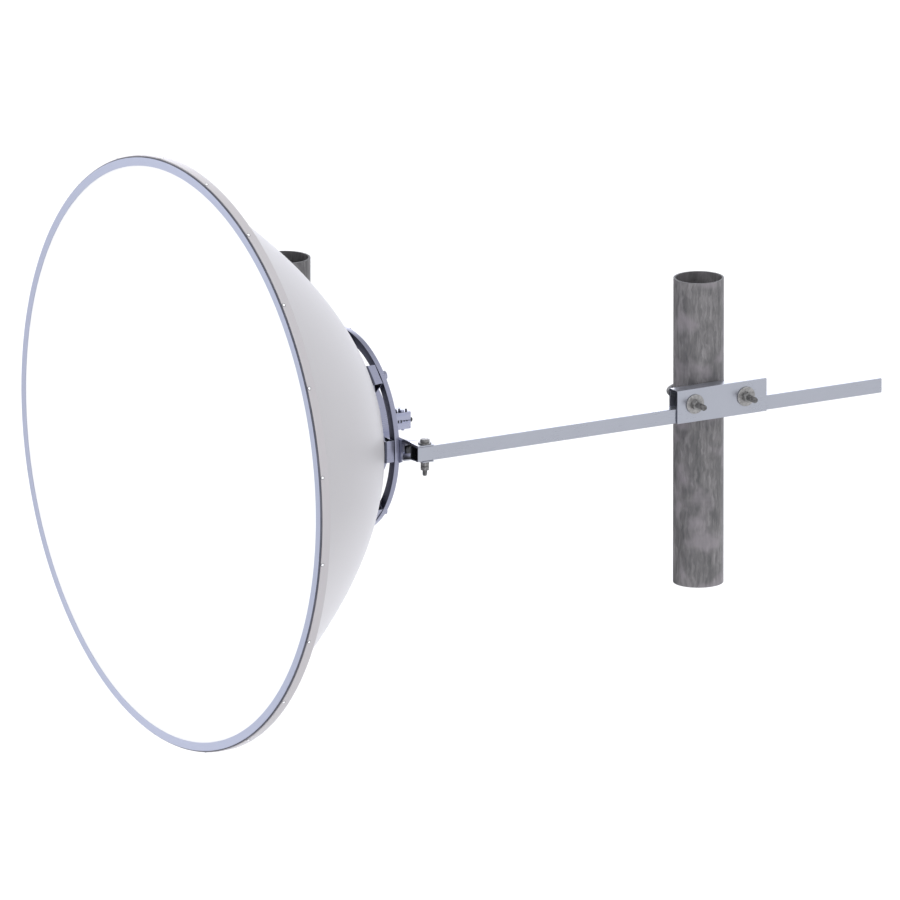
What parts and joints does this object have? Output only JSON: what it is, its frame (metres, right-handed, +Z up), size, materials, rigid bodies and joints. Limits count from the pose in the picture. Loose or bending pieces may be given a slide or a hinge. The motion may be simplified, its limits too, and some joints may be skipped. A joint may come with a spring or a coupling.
{
  "type": "parabolic dish antenna",
  "caption": "Round deep dish antenna with a flat white front cover, back ring and hub, held on a pipe stub by clamped arms and steadied by a square side strut clamped to a second pipe stub.",
  "frame": {"origin": "on the flat lower end face of the main pipe, in the middle of its wall, on the side towards the dish", "axes": "the dish looks along -Y, the strut runs back along +Y, +Z up; the main pipe's foot faces -Z"},
  "size_m": [1.2, 1.5, 1.2],
  "materials": {
    "cover_white": "plain white sheet",
    "ring_paint": "blue-grey satin",
    "gasket_rubber": "matt black",
    "band_paint": "warm light grey satin",
    "reflector_paint": "white satin paint",
    "coated_steel": "smooth blue-grey coated steel",
    "bolt_zinc": "dull zinc",
    "pipe_galvanised": "mottled hot-dip galvanised"
  },
  "bodies": {
    "root": {"cover_sheet": "cover_white", "cover_ring": "ring_paint", "gasket": "gasket_rubber", "rim_band": "band_paint", "reflector": "reflector_paint", "rim_flange": "reflector_paint", "hub_cap": "coated_steel", "feed_tube": "coated_steel", "feed_flange": "coated_steel", "feed_block_lower": "coated_steel", "feed_block_upper": "coated_steel", "back_ring": "coated_steel", "spacer_1": "coated_steel", "spacer_2": "coated_steel", "spacer_3": "coated_steel", "spacer_4": "coated_steel", "spacer_5": "coated_steel", "spacer_6": "coated_steel", "spacer_7": "coated_steel", "spacer_8": "coated_steel", "strut_bracket": "coated_steel", "strut": "coated_steel", "strut_clamp": "coated_steel", "mount_channel": "coated_steel", "upper_arm": "coated_steel", "lower_arm": "coated_steel", "upper_saddle": "coated_steel", "lower_saddle": "coated_steel", "bracket_bolt": "bolt_zinc", "pivot_bolt": "bolt_zinc", "pivot_nut": "bolt_zinc", "pivot_lock_nut": "bolt_zinc", "strut_u_bolt": "bolt_zinc", "clamp_washer_1": "bolt_zinc", "clamp_nut_1": "bolt_zinc", "clamp_washer_2": "bolt_zinc", "clamp_nut_2": "bolt_zinc", "upper_u_bolt": "bolt_zinc", "lower_u_bolt": "bolt_zinc", "main_pipe": "pipe_galvanised", "strut_pipe": "pipe_galvanised"}
  },
  "joints": []
}
